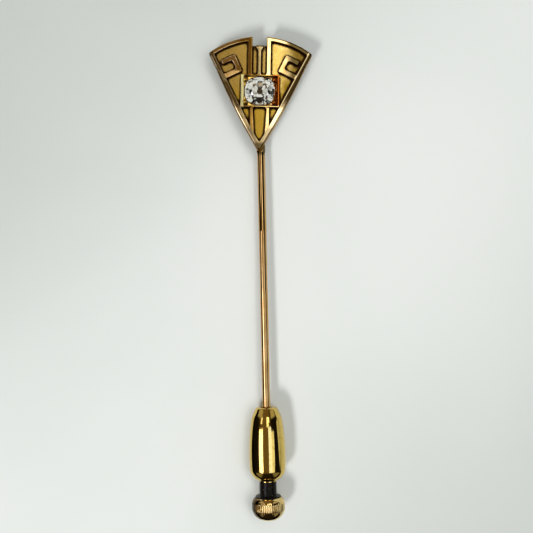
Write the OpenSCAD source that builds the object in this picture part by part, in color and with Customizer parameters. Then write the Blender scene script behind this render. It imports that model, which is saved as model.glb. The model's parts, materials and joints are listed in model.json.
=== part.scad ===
// Stick pin: a gold fan head with raised key work and a cushion-cut stone in a box
// setting, soldered to a round stem, with a pull-off bullet clutch on the stem's point.
//
// The pin lies face up as it rests on a table: on the collet behind the stone and on
// the clutch's barrel. +Z is up, +Y runs from the clutch to the head, and the origin is
// at the bottom centre of the whole pin. Lengths are in millimetres.

/* [Fan] */
// Height of the fan, from its tip to the top of its arc
fan_h = 15.16; // [13.5:0.02:17]
// Radius of the arc along the fan's top
arc_r = 11.5; // [10.5:0.1:12.5]
// Lean of each straight side from the fan's centreline, in degrees
side_lean = 27.5; // [25:0.1:29]
// Radius that rounds the fan's tip
tip_r = 0.35; // [0.2:0.05:0.6]
// Radius that rounds the fan's two outer corners
corner_r = 0.25; // [0.15:0.05:0.6]
// Thickness of the back plate, up to the matt ground
plate_t = 1.1; // [0.9:0.05:1.6]

/* [Raised work] */
// Height of the raised work above the matt ground
relief_h = 0.45; // [0.25:0.05:0.7]
// Width of the raised border along the arc and the sides
border_w = 0.56; // [0.4:0.02:0.7]
// Radius in the outer corners of the sunk ground
ground_r = 0.15; // [0.05:0.05:0.3]
// Clear width between the two upright bars
channel_w = 1.92; // [1.6:0.02:2.1]
// Sideways distance of the bars, the notch and the column from the fan's centreline
channel_shift = 0.12; // [0:0.01:0.2]
// Width of each upright bar above the setting
upper_bar_w = 0.57; // [0.4:0.01:0.8]
// Width of each upright bar below the setting
lower_bar_w = 0.42; // [0.3:0.02:0.6]
// Depth of the notch between the lobes, below the top of the arc
notch_depth = 1.2; // [0.8:0.05:1.6]
// Width of the slim column that stands in the channel
column_w = 0.47; // [0.3:0.01:0.6]
// Width of the column's cap
cap_w = 1; // [0.8:0.05:1.3]
// Height of the column's cap, with its tapered neck
cap_h = 0.7; // [0.5:0.05:1.2]
// Width of metal left between the setting and the round ends of the two slots above it
slot_web = 0.1; // [0.05:0.01:0.2]
// Width at the top of the pencil-shaped panel below the setting
panel_w = 1.76; // [1.6:0.02:1.9]
// Radius in the panel's top corners
panel_r = 0.26; // [0.1:0.02:0.4]
// Distance from the fan's tip to the point of the panel
panel_point_v = 1.1; // [1:0.01:1.5]
// Distance from the fan's tip to the shoulders of the panel
panel_shoulder_v = 2.1; // [1.9:0.01:2.4]
// Width of the panel at its shoulders
panel_shoulder_w = 1.36; // [1.2:0.02:1.5]

/* [Key work] */
// Lean of the keys from the fan's centreline, in degrees
key_lean = 25.5; // [24:0.1:27]
// Distance of each key's inner corner from the fan's centreline
key_u = 2.36; // [2.3:0.02:2.6]
// Distance of each key's inner corner above the fan's tip
key_v = 10.5; // [10.2:0.05:10.8]
// Width of the arm that grows from the border
key_foot_w = 0.68; // [0.5:0.02:0.8]
// Width of the long arm
key_arm_w = 0.64; // [0.5:0.02:0.8]
// Width of the hooked arm
key_hook_w = 0.64; // [0.4:0.02:0.7]
// Gap between the foot and the hooked arm
key_gap = 1.18; // [0.9:0.02:1.3]
// Length of the hooked arm, with the width of the long arm
key_hook_l = 2; // [1.6:0.05:2.2]
// Radius in the two inner corners of each key
key_r = 0.24; // [0.1:0.02:0.3]

/* [Setting] */
// Width of the box setting across the fan
setting_w = 5.03; // [4.9:0.01:5.4]
// Depth of the box setting along the fan
setting_d = 4.17; // [4.1:0.01:4.5]
// Distance of the setting's centre above the fan's tip
setting_v = 7.8; // [7.5:0.05:8.2]
// Height of the setting's rim above the raised work
setting_rise = 0.35; // [0.2:0.05:0.6]
// Width of the bright rim around the setting
rim_w = 0.12; // [0.08:0.01:0.2]
// Radius of the bead in each corner of the setting
bead_r = 0.37; // [0.33:0.01:0.42]
// Distance of each bead's centre in from the setting's two nearest sides
bead_in = 0.6; // [0.5:0.01:0.64]
// Height of the beads' centres above the girdle
bead_rise = 0.12; // [0.05:0.01:0.2]
// Depth of the girdle below the setting's rim
girdle_drop = 0.35; // [0.25:0.05:0.45]

/* [Collet behind the stone] */
// Width of the collet across the fan
collet_w = 4.4; // [3.8:0.1:5]
// Depth of the collet along the fan
collet_d = 3.5; // [3.2:0.1:4]
// Height of the collet behind the back plate
collet_h = 2; // [1.4:0.1:2.3]
// Thickness of the collet's wall
collet_wall = 0.45; // [0.3:0.05:0.6]
// Width of the square light hole through the back plate
light_hole_w = 1.9; // [1.4:0.1:2]

/* [Stone] */
// Width of the stone across the fan
stone_w = 4; // [3.7:0.01:4.1]
// Depth of the stone along the fan
stone_d = 3.66; // [3.4:0.01:3.75]
// Thickness of the stone's girdle
girdle_t = 0.12; // [0.05:0.01:0.2]
// Height of the crown, from the girdle to the table
crown_h = 0.72; // [0.6:0.02:0.85]
// Depth of the pavilion, from the girdle to the open culet
pavilion_h = 1.4; // [1.2:0.02:1.5]
// Gap between the stone and the metal around it
stone_gap = 0.04; // [0.02:0.01:0.06]

/* [Stem] */
// Diameter of the round stem
stem_d = 1.02; // [0.9:0.02:1.1]
// Length of bare stem between the fan's tip and the clutch
stem_show = 34.3; // [28:0.1:44]
// Length of stem held inside the clutch
stem_grip = 10; // [9:0.1:10.5]
// Length of the conical point at the stem's end
point_l = 2.2; // [1.5:0.1:3]
// Diameter of the stem where the conical point begins
point_d = 0.84; // [0.7:0.02:0.88]
// Width of the stem's eight-sided foot, soldered along the back of the fan
foot_d = 1.12; // [1.12:0.02:1.2]
// Depth that the stem is let into the solder on the back of the fan
solder_depth = 0.08; // [0.05:0.01:0.12]
// Sideways distance of the fan's tip from the stem
tip_shift = 0.28; // [0:0.01:0.4]
// Turn of the fan on its stem, in degrees
head_turn = 2.2; // [0:0.1:3]

/* [Clutch barrel] */
// Diameter of the barrel at its belly
barrel_d = 4.94; // [4.8:0.02:5.6]
// Length of the barrel
barrel_l = 9.85; // [9.4:0.05:11]
// Distance of the belly from the mouth
belly_z = 6.4; // [6:0.1:7]
// Radius of the long bulge along the barrel
bulge_r = 30; // [24:1:60]
// Radius of the arc that draws the nose in
nose_r = 4; // [3.6:0.1:4.4]
// Distance from the mouth at which the nose begins to draw in
nose_l = 2; // [1.6:0.1:2.4]
// Radius that rounds the edge at the mouth
mouth_edge_r = 0.45; // [0.3:0.05:0.6]
// Radius that rounds the rear end
rear_edge_r = 1.75; // [1.4:0.05:1.9]
// Diameter of the hole in the mouth
mouth_d = 1.56; // [1.5:0.02:1.64]
// Length of the mouth's hole
mouth_l = 0.9; // [0.8:0.05:1]
// Thickness of the wall at the rear end
rear_wall = 1; // [0.8:0.05:1.3]
// Diameter of the long chamber that holds the plunger's collar
chamber_d = 3.7; // [3.4:0.02:3.8]

/* [Clutch jaws] */
// Diameter of the gripping sleeve
jaw_d = 2.4; // [2.1:0.02:2.6]
// Length of the gripping sleeve
jaw_l = 1.6; // [1.4:0.05:1.8]
// Length of the slim nose that shows in the mouth
jaw_nose_l = 0.5; // [0.3:0.05:0.6]
// Width of each slit between two jaws
slit_w = 0.14; // [0.1:0.01:0.2]

/* [Clutch plunger] */
// Diameter of the plunger's neck
neck_d = 2.28; // [2.1:0.02:2.5]
// Length of neck that shows between the barrel and the knob
neck_show = 2; // [1.6:0.1:2.4]
// Length of the collar that guides the neck inside the barrel
collar_l = 0.7; // [0.5:0.05:1]
// Diameter of the flange on the front of the knob
flange_d = 3.4; // [3.2:0.02:3.6]
// Thickness of the flange
flange_t = 0.4; // [0.3:0.05:0.6]
// Diameter of the bore for the stem
plunger_bore_d = 1.16; // [1.14:0.01:1.2]

/* [Clutch knob] */
// Diameter of the knob at its knurled belly
knob_d = 4.4; // [4.3:0.02:4.8]
// Length of the knob
knob_l = 3.2; // [3.1:0.05:3.8]
// Radius of the shoulder at the knob's front
shoulder_r = 1; // [0.8:0.05:1.1]
// Radius of the dome at the knob's rear
dome_r = 1.65; // [1.5:0.05:1.7]
// Number of flutes in the knurling
flutes = 44; // [36:1:48]
// Radius of each flute
flute_r = 0.13; // [0.1:0.01:0.15]
// Depth of each flute
flute_depth = 0.1; // [0.06:0.01:0.12]
// Depth of the blind bore behind the flange
knob_bore_l = 2.1; // [1.9:0.05:2.3]

/* [Running fits] */
// Radial clearance of the parts that slide or turn on each other
running = 0.05; // [0.03:0.01:0.06]
// Gap between parts that are pressed together
press_gap = 0.02; // [0.01:0.005:0.03]
// Gap between the stem and the jaws that grip it
grip_gap = 0.03; // [0.02:0.005:0.04]

/* [Hidden] */
$fn = 64;

// Small overlap that keeps cuts clean, and a thickness that stands for a flat layer
cut = 0.1;
layer = 0.01;
// Half-space blocks for the facets are larger than any stone
block = 40;
// Points along one arc of an outline
arc_steps = 28;
fillet_steps = 6;

gold = "goldenrod";
pale_gold = "gold";
grip_metal = "darkgoldenrod";
black_metal = "dimgray";
clear_stone = "lightcyan";

// The fan in its own frame: u across, v up from the tip, w forward from the back plate
fan_front = plate_t + relief_h;
rim_w_top = fan_front + setting_rise;
girdle_w = rim_w_top - girdle_drop;
arc_centre_v = fan_h - arc_r;
apex_drop = tip_r * (1 / sin(side_lean) - 1);
notch_v = fan_h - notch_depth;
setting_top_v = setting_v + setting_d / 2;
setting_low_v = setting_v - setting_d / 2;
slot_low_v = setting_top_v + slot_web;
// Width of the ledge between the well's slope and the stone
ledge_w = 0.02;
key_h = key_foot_w + key_gap + key_hook_w;

// The stem's own frame: its axis is Y, the fan's tip is level with the origin
stem_r = stem_d / 2;
fan_back_z = stem_r - solder_depth;
foot_end = 0.1;
// The stem begins to taper this far before the clutch's mouth
taper_lead = 0.3;
taper_start = stem_show - taper_lead;
stem_end = stem_show + stem_grip;
tip_blunt_r = 0.06;

// Stations along the clutch, measured from the barrel's mouth
barrel_r = barrel_d / 2;
chamber_z = mouth_l + jaw_l + 2 * running;
collar_z = chamber_z + running;
knob_z = barrel_l + neck_show;
clutch_end = knob_z + knob_l;

// The pin rests on the far edge of the collet and on the barrel's belly
collet_foot_z = fan_back_z - collet_h;
collet_far_y = setting_v + collet_d / 2;
belly_y = stem_show + belly_z;
rest_tilt = atan((barrel_r + collet_foot_z) / (belly_y + collet_far_y));
rest_z = barrel_r * cos(rest_tilt) - belly_y * sin(rest_tilt);
rest_y = ((stem_show + clutch_end) * cos(rest_tilt)
    - fan_h * cos(rest_tilt) - (fan_back_z + fan_front) * sin(rest_tilt)) / 2;

// Points of an arc about a centre, from one angle to another
function arc(centre, r, from, to, steps) =
    [for (i = [0:steps]) let (a = from + (to - from) * i / steps)
        centre + r * [cos(a), sin(a)]];

// Distance up the right side, from the apex, of the centre of a circle of radius r
// that touches the side and the arc, both moved in by inset
function corner_run(inset, r) =
    let (d = [0, -apex_drop - arc_centre_v] + (inset + r) * [-cos(side_lean), sin(side_lean)],
         along = d * [sin(side_lean), cos(side_lean)],
         reach = arc_r - inset - r)
    sqrt(along * along - d * d + reach * reach) - along;

function corner_centre(inset, r) =
    [0, -apex_drop] + (inset + r) * [-cos(side_lean), sin(side_lean)]
    + corner_run(inset, r) * [sin(side_lean), cos(side_lean)];

// Right half of the fan's outline, moved in by inset, from the tip to the arc's top
function half_fan(inset, tip_round, corner_round) =
    let (c = corner_centre(inset, corner_round),
         lift = c - [0, arc_centre_v],
         meet = atan2(lift[1], lift[0]),
         tip = [0, -apex_drop + (inset + tip_round) / sin(side_lean)])
    concat(
        arc(tip, tip_round, -90, -side_lean, fillet_steps),
        arc(c, corner_round, -side_lean, meet, fillet_steps),
        arc([0, arc_centre_v], arc_r - inset, meet, 90, arc_steps));

function mirrored(points) = [for (i = [len(points) - 1:-1:0]) [-points[i][0], points[i][1]]];

module fan_outline(inset, tip_round, corner_round) {
    right = half_fan(inset, tip_round, corner_round);
    polygon(concat(right, mirrored(right)));
}

// One key, on the right: a foot from the border, a long arm, and a hooked arm
module key() {
    translate([key_u, key_v]) rotate(-key_lean) {
        square([key_reach(), key_foot_w]);
        square([key_arm_w, key_h]);
        translate([0, key_h - key_hook_w]) square([key_hook_l, key_hook_w]);
        translate([key_arm_w, key_foot_w]) corner_fillet(key_r);
        translate([key_arm_w, key_foot_w + key_gap]) mirror([0, 1]) corner_fillet(key_r);
    }
}

// Rounds the inner corner between two walls that run along +x and +y
module corner_fillet(r) {
    difference() {
        square(r);
        translate([r, r]) circle(r);
    }
}

// Length of the key's foot, from its inner corner to the middle of the border
function key_reach() =
    ((key_v + apex_drop) * sin(side_lean) - key_u * cos(side_lean) - border_w / 2)
    / cos(side_lean - key_lean);

// The column's cap, with the tapered neck below it
module cap() {
    half = cap_w / 2;
    low = notch_v - cap_h;
    mid = notch_v - cap_h / 2;
    polygon([[-half, fan_h], [-half, mid], [-column_w / 2, low],
        [column_w / 2, low], [half, mid], [half, fan_h]]);
}

// Ground between the border and the bars, on the right. The upper bar stands off by shift
module side_ground(shift) {
    intersection() {
        fan_outline(border_w, cut, ground_r);
        union() {
            translate([channel_w / 2 + upper_bar_w + shift, setting_v]) square([fan_h, fan_h]);
            translate([panel_w / 2 + lower_bar_w, 0]) square([fan_h, setting_v + cut]);
        }
    }
}

// Right half of the panel's outline, from its point up to its rounded top corner
function half_panel() =
    let (shoulder = panel_shoulder_w / 2, half = panel_w / 2, top = setting_low_v)
    concat(
        [[0, panel_point_v], [shoulder - panel_r / 2, panel_shoulder_v - panel_r / 2],
         [shoulder, panel_shoulder_v + panel_r / 2]],
        arc([half - panel_r, top - panel_r], panel_r, 0, 90, fillet_steps));

module panel_ground() {
    polygon(concat(half_panel(), mirrored(half_panel())));
}

// The two slots above the setting, with round ends, to either side of the column
module slots() {
    slot_w = (channel_w - column_w) / 2;
    for (x = [-1, 1]) translate([x * (column_w + slot_w) / 2, slot_low_v + slot_w / 2]) {
        circle(d = slot_w);
        translate([-slot_w / 2, 0]) square([slot_w, fan_h]);
    }
    translate([-channel_w / 2, notch_v]) square([channel_w, fan_h]);
}

// All the sunk ground, with the keys and the column's cap left standing
module sunk_ground() {
    difference() {
        union() {
            side_ground(-channel_shift);
            mirror([1, 0]) side_ground(channel_shift);
        }
        key();
        mirror([1, 0]) key();
    }
    panel_ground();
    translate([-channel_shift, 0]) difference() {
        slots();
        cap();
    }
}

module fan_plate() {
    difference() {
        linear_extrude(fan_front) fan_outline(0, tip_r, corner_r);
        translate([0, 0, plate_t]) linear_extrude(relief_h + cut) sunk_ground();
        translate([-channel_shift - channel_w / 2, notch_v, -cut])
            cube([channel_w, fan_h, fan_front + 2 * cut]);
    }
}

module centred_box(w, d, low, high) {
    translate([-w / 2, -d / 2, low]) cube([w, d, high - low]);
}

// The well slopes from the bright rim down to a narrow ledge around the stone's girdle
module setting_well() {
    low_w = stone_w + 2 * (stone_gap + ledge_w);
    low_d = stone_d + 2 * (stone_gap + ledge_w);
    hull() {
        centred_box(low_w, low_d, girdle_w, girdle_w + layer);
        centred_box(setting_w - 2 * rim_w, setting_d - 2 * rim_w, rim_w_top, rim_w_top + cut);
    }
}

module beads() {
    for (x = [-1, 1], y = [-1, 1])
        translate([x * (setting_w / 2 - bead_in), y * (setting_d / 2 - bead_in), girdle_w + bead_rise])
            sphere(bead_r);
}

module setting() {
    difference() {
        centred_box(setting_w, setting_d, 0, rim_w_top);
        setting_well();
    }
    beads();
}

module collet() {
    difference() {
        centred_box(collet_w, collet_d, -collet_h, cut);
        centred_box(collet_w - 2 * collet_wall, collet_d - 2 * collet_wall, -collet_h - cut, 0);
    }
}

// Tiers of facets: how many, first azimuth, slope in degrees of a round stone of the same
// cut, and share of the girdle's radius that the plane keeps at the girdle
half_step = 11.25;
CROWN_TIERS = [[8, 0, 38, 1], [16, half_step, 42.6, cos(half_step)], [8, 2 * half_step, 24, 1.339]];
PAVILION_TIERS = [[8, 0, 42, 1], [16, half_step, 44.6, cos(half_step)]];
// Squareness of the cushion outline: 2 is an ellipse, and higher is squarer
squareness = 2.8;
support_power = squareness / (squareness - 1);

// Distance from the stone's axis of the line that touches its outline at an azimuth
function girdle_reach(azimuth) =
    pow(pow(abs(stone_w / 2 * cos(azimuth)), support_power)
        + pow(abs(stone_d / 2 * sin(azimuth)), support_power), 1 / support_power);

// Half-space below a facet's plane. side is 1 on the crown and -1 on the pavilion
module facet(azimuth, slope, share, side, edge_w, gap) {
    reach = girdle_reach(azimuth) * share;
    mean_r = (stone_w + stone_d) / 4;
    lean = atan(mean_r * share * tan(slope) / reach);
    tilt = side > 0 ? lean : 180 - lean;
    depth = reach * sin(tilt) + edge_w * cos(tilt) + gap;
    rotate([0, tilt, azimuth]) translate([-block / 2, -block / 2, depth - block]) cube(block);
}

module tier(rows, side, edge_w, gap) {
    intersection_for (row = rows)
        intersection_for (i = [0:row[0] - 1])
            facet(row[1] + i * 360 / row[0], row[2], row[3], side, edge_w, gap);
}

// The cushion-cut stone, with its girdle's middle at height 0, grown by gap on every side
module cut_stone(gap) {
    girdle_sides = 16;
    intersection() {
        centred_box(stone_w * 2, stone_d * 2,
            -pavilion_h - girdle_t / 2 - gap, crown_h + girdle_t / 2 + gap);
        tier(CROWN_TIERS, 1, girdle_t / 2, gap);
        tier(PAVILION_TIERS, -1, -girdle_t / 2, gap);
        intersection_for (i = [0:girdle_sides - 1])
            let (a = half_step + i * 360 / girdle_sides)
                rotate([0, 90, a])
                    translate([-block / 2, -block / 2, girdle_reach(a) * cos(half_step) + gap - block])
                        cube(block);
    }
}

// Places the fan's frame on the stem's frame
module on_stem() {
    translate([-tip_shift, 0, fan_back_z]) rotate(-head_turn) children();
}

// Places the stem's frame as the pin rests on a table
module at_rest() {
    translate([0, rest_y, rest_z]) rotate([-rest_tilt, 0, 0]) children();
}

// Turns a shape built up its Z axis to run down the stem, from a station below the tip
module down_stem(station) {
    translate([0, -station, 0]) rotate([90, 0, 0]) children();
}

module stem() {
    down_stem(foot_end) cylinder(r = stem_r, h = taper_start - foot_end);
    down_stem(taper_start) cylinder(r1 = stem_r, r2 = point_d / 2, h = stem_end - point_l - taper_start);
    down_stem(stem_end - point_l) cylinder(r1 = point_d / 2, r2 = tip_blunt_r, h = point_l);
}

// The thickened foot runs from the collet to just below the fan's tip
module stem_foot() {
    foot_top = setting_v - collet_d / 2 + collet_wall / 2;
    down_stem(-foot_top) rotate(22.5) cylinder(r = foot_d / 2 / cos(22.5), h = foot_top + foot_end, $fn = 8);
}

// The fan, its setting, its collet and the stem are soldered into one piece
module pin() {
    color(gold) at_rest() {
        difference() {
            union() {
                on_stem() {
                    fan_plate();
                    translate([0, setting_v, 0]) {
                        setting();
                        collet();
                    }
                }
                stem_foot();
            }
            on_stem() translate([0, setting_v, 0]) {
                translate([0, 0, girdle_w]) cut_stone(stone_gap);
                centred_box(light_hole_w, light_hole_w, -cut, girdle_w - pavilion_h * 3 / 4);
            }
        }
        stem();
    }
}

module stone() {
    color(clear_stone) at_rest() on_stem() translate([0, setting_v, girdle_w]) cut_stone(0);
}

// Outline of the barrel: radius across, distance from the mouth up
function barrel_outline() =
    let (bulge_centre = [barrel_r - bulge_r, belly_z],
         nose_start = [bulge_centre[0] + sqrt(bulge_r * bulge_r - pow(belly_z - nose_l, 2)), nose_l],
         nose_centre = nose_start + nose_r * (bulge_centre - nose_start) / bulge_r,
         face_r = nose_centre[0] + sqrt(nose_r * nose_r - pow(nose_centre[1] - mouth_edge_r, 2)),
         rear_r = bulge_centre[0] + sqrt(bulge_r * bulge_r - pow(barrel_l - rear_edge_r - belly_z, 2)),
         start = atan2(mouth_edge_r - nose_centre[1], face_r - nose_centre[0]),
         joint = atan2(nose_l - nose_centre[1], nose_start[0] - nose_centre[0]),
         bulge_from = atan2(nose_l - belly_z, nose_start[0] - bulge_centre[0]),
         bulge_to = asin((barrel_l - rear_edge_r - belly_z) / bulge_r))
    concat(
        [[0, 0]],
        arc([face_r - mouth_edge_r, mouth_edge_r], mouth_edge_r, -90, start, fillet_steps),
        arc(nose_centre, nose_r, start, joint, 2 * fillet_steps),
        arc(bulge_centre, bulge_r, bulge_from, bulge_to, 2 * fillet_steps),
        arc([rear_r - rear_edge_r, barrel_l - rear_edge_r], rear_edge_r, 0, 90, 2 * fillet_steps),
        [[0, barrel_l]]);

module clutch_barrel() {
    color(pale_gold) at_rest() down_stem(stem_show) difference() {
        rotate_extrude() polygon(barrel_outline());
        translate([0, 0, -cut]) cylinder(d = mouth_d, h = barrel_l);
        translate([0, 0, mouth_l]) cylinder(r = jaw_d / 2 + running, h = barrel_l / 2);
        translate([0, 0, chamber_z]) cylinder(d = chamber_d, h = barrel_l - rear_wall - chamber_z);
        translate([0, 0, barrel_l / 2]) cylinder(r = neck_d / 2 + running, h = barrel_l);
    }
}

// The gripping sleeve turns in the barrel and is split into three jaws at its nose
module clutch_jaws() {
    nose_start = mouth_l + running - jaw_nose_l;
    sleeve_start = mouth_l + running;
    color(grip_metal) at_rest() down_stem(stem_show) difference() {
        union() {
            translate([0, 0, nose_start]) cylinder(r = mouth_d / 2 - running, h = jaw_nose_l + jaw_l / 2);
            translate([0, 0, sleeve_start]) cylinder(d = jaw_d, h = jaw_l);
        }
        cylinder(r = stem_r + grip_gap, h = barrel_l);
        for (a = [30, 150, 270])
            rotate(a) translate([0, -slit_w / 2, 0]) cube([jaw_d, slit_w, sleeve_start + jaw_l / 2]);
    }
}

module clutch_neck() {
    color(black_metal) at_rest() down_stem(stem_show) difference() {
        union() {
            translate([0, 0, collar_z]) cylinder(d = neck_d, h = knob_z - collar_z + flange_t);
            translate([0, 0, collar_z]) cylinder(r = chamber_d / 2 - running, h = collar_l);
            translate([0, 0, knob_z]) cylinder(d = flange_d, h = flange_t);
        }
        translate([0, 0, collar_z - cut]) cylinder(d = plunger_bore_d, h = clutch_end);
    }
}

// Outline of the knob: radius across, distance from its front face up. Its rounded
// shoulder starts at the rim of the recess for the flange
function knob_outline() =
    let (belly = knob_d / 2,
         rim = flange_d / 2 + press_gap - (belly - shoulder_r),
         rim_angle = -acos(rim / shoulder_r))
    concat(
        [[0, shoulder_r + shoulder_r * sin(rim_angle)]],
        arc([belly - shoulder_r, shoulder_r], shoulder_r, rim_angle, 0, fillet_steps),
        arc([belly - dome_r, knob_l - dome_r], dome_r, 0, 90, 2 * fillet_steps),
        [[0, knob_l]]);

module clutch_knob() {
    color(pale_gold) at_rest() down_stem(stem_show + knob_z) difference() {
        rotate_extrude() polygon(knob_outline());
        translate([0, 0, -cut]) cylinder(r = flange_d / 2 + press_gap, h = flange_t + press_gap + cut);
        cylinder(d = plunger_bore_d, h = flange_t + knob_bore_l);
        for (i = [0:flutes - 1])
            rotate(i * 360 / flutes) translate([knob_d / 2 + flute_r - flute_depth, 0, -cut])
                cylinder(r = flute_r, h = knob_l + 2 * cut, $fn = 16);
    }
}

pin();
stone();
clutch_jaws();
clutch_barrel();
clutch_neck();
clutch_knob();
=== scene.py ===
# %% [markdown]
# # A gold stick pin in Blender
#
# The pin is a fan-shaped head with raised key ornament and one cushion-cut stone, on a long
# stem whose point is covered by a bullet-shaped clutch. The measured model is loaded first
# and never changed. Around it, this lesson makes the finer pieces and the finishes: rounded
# edges, a lathe-turned clutch, a twisted grip on the stem, and gold that has aged.

# %% Load the measured model
import json
from math import acos, asin, atan2, cos, degrees, pi, radians, sin, sqrt
from types import SimpleNamespace

import bmesh
import bpy
from mathutils import Matrix, Vector


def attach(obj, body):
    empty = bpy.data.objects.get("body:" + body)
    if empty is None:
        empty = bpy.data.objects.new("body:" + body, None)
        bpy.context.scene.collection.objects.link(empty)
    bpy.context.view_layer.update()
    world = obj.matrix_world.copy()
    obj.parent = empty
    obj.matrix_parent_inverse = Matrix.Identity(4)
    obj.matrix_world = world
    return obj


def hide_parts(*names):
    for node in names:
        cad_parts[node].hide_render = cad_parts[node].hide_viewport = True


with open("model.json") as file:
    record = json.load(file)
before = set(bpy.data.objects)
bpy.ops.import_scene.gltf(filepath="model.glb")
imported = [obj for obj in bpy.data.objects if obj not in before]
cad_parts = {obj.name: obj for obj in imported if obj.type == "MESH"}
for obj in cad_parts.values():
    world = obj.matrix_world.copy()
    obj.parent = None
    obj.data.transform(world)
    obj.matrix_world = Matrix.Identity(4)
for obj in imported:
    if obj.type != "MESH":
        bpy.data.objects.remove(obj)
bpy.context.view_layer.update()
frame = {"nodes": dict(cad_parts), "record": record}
print("nodes:", ", ".join(sorted(frame["nodes"])))

# %% [markdown]
# Every length below is written in millimetres, as a jeweller would, and one factor turns it
# into Blender's metres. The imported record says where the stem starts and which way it
# points, so each piece can be built upright at the origin and then laid on the real pin.
# The fan has a frame of its own, because it sits a little to one side of the stem and is
# turned by two degrees. Its heights are counted from its back: the ground between the keys,
# the tops of the keys, and the rim of the setting.

# %% Places on the pin
MM = 0.001
FOOT_END = 0.1 * MM
stem_mount = next(m for m in frame["record"]["mounts"] if m["name"] == "stem")
down = Vector(stem_mount["axis"]).normalized()
stem_r = stem_mount["dims"]["r_mm"] * MM
bare_stem = stem_mount["dims"]["length_mm"] * MM
stem_show = bare_stem + 4 * FOOT_END
tip_of_fan = Vector(stem_mount["pos_m"]) - down * (bare_stem / 2 + FOOT_END)


def frame_at(origin, across, up):
    """Matrix of a frame from its origin, its X axis and its Y axis."""
    out = across.cross(up)
    turned = Matrix((across, up, out)).transposed().to_4x4()
    return Matrix.Translation(origin) @ turned


STEM_FRAME = frame_at(tip_of_fan, Vector((1, 0, 0)), -down)
DOWN_STEM = STEM_FRAME @ Matrix.Rotation(radians(90), 4, "X")
PLATE_T, FAN_FRONT, RIM_TOP = 1.1 * MM, 1.55 * MM, 1.9 * MM
SIDE_LEAN, APEX_DROP = radians(27.5), 0.408
FAN_ASIDE, FAN_TURN, FAN_BACK = -0.28 * MM, radians(-2.2), stem_r - 0.08 * MM
FAN_FRAME = (STEM_FRAME @ Matrix.Translation((FAN_ASIDE, 0, FAN_BACK))
             @ Matrix.Rotation(FAN_TURN, 4, "Z"))
print("stem leans", round(degrees(asin(down.z)), 3), "degrees and shows",
      round(stem_show / MM, 2), "mm")

# %% [markdown]
# The photograph looks straight down at the pin. A lens of 57 mm on a 36 mm sensor gives its
# 35 degree view, and the camera hangs 116 mm above the table, turned by about a degree.

# %% The camera
SENSOR, PHOTO_WIDTH, FOCAL_PIXELS = 36, 533, 845
CAMERA_AT, CAMERA_TURN = Vector((0.412, 1.62, 115.8)) * MM, radians(-1.213)
focal = FOCAL_PIXELS / PHOTO_WIDTH * SENSOR
camera_data = bpy.data.cameras.new("camera")
camera_data.sensor_width = SENSOR
camera_data.lens = focal
camera_data.clip_start = 0.005
camera_data.clip_end = 20
camera = bpy.data.objects.new("camera", camera_data)
bpy.context.collection.objects.link(camera)
camera.location = CAMERA_AT
camera.rotation_euler = (0, 0, CAMERA_TURN)
bpy.context.scene.camera = camera
bpy.context.scene.view_settings.view_transform = "Standard"
print("view angle", round(degrees(2 * atan2(SENSOR / 2, focal)), 2))

# %% [markdown]
# Polished gold has no look of its own: it shows the room. The stripes along the clutch tell
# where the lamps of the photograph stood, so each lamp is a soft box half a metre up whose
# sides are given as slopes from the pin, sideways first and then lengthways. The shadows are
# shorter than the left stripe asks for, so the lamp that throws them is one of its own. It
# and the filling lamp don't show in the gold, but they would still hide a lamp that hangs in
# their plane, so the one that draws the clutch's right stripe hangs a little lower.

# %% Lamps
LAMP_HEIGHT, BARREL_LAMP_HEIGHT = 0.5, 0.49


def lamp(name, sideways, lengthways, radiance, colour, height=LAMP_HEIGHT,
         lights_matt=True, shows_in_gold=True):
    """A soft box between two slopes to the side and two slopes along the pin."""
    data = bpy.data.lights.new(name, "AREA")
    data.shape = "RECTANGLE"
    data.size = (sideways[1] - sideways[0]) * height
    data.size_y = (lengthways[1] - lengthways[0]) * height
    data.energy = radiance * pi * data.size * data.size_y
    data.color = colour
    box = bpy.data.objects.new(name, data)
    bpy.context.collection.objects.link(box)
    box.location = (sum(sideways) / 2 * height, sum(lengthways) / 2 * height, height)
    box.visible_diffuse = lights_matt
    box.visible_glossy = shows_in_gold
    box.visible_transmission = False
    print(name, "is", round(data.size, 3), "by", round(data.size_y, 3), "m")


lamp("shadow_lamp", (-0.60, -0.38), (-0.88, -0.48), 36, (1, 1, 0.99), shows_in_gold=False)
lamp("fill_lamp", (0.21, 0.49), (-0.35, 0.25), 4.3, (0.98, 1, 0.99), shows_in_gold=False)
lamp("left_stripe", (-1.30, -0.52), (-0.69, 0.056), 4.0, (1, 0.98, 1.15), lights_matt=False)
lamp("left_glint", (-1.00, -0.66), (0.16, 0.75), 1.5, (1, 0.98, 0.94), lights_matt=False)
lamp("head_lamp", (-0.004, 0.34), (0.08, 0.70), 2.5, (1, 1, 0.97))
lamp("right_lamp", (-0.004, 0.34), (-0.32, 0.08), 1.7, (1, 1, 0.97))
lamp("barrel_lamp", (0.17, 0.56), (-0.55, 0.08), 1.7, (0.85, 1, 1.6), BARREL_LAMP_HEIGHT,
     lights_matt=False)
lamp("pale_lamp", (0.554, 1.035), (-0.63, 0.03), 1.3, (0.97, 1, 1.1))

# %% [markdown]
# Shader maths reads best as plain sums. The small class below wraps a node's output, so that
# `1 - wear * 0.5` adds the Math nodes by itself. Every other node is made by one function
# that takes its type, its settings and what goes into its sockets.

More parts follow.
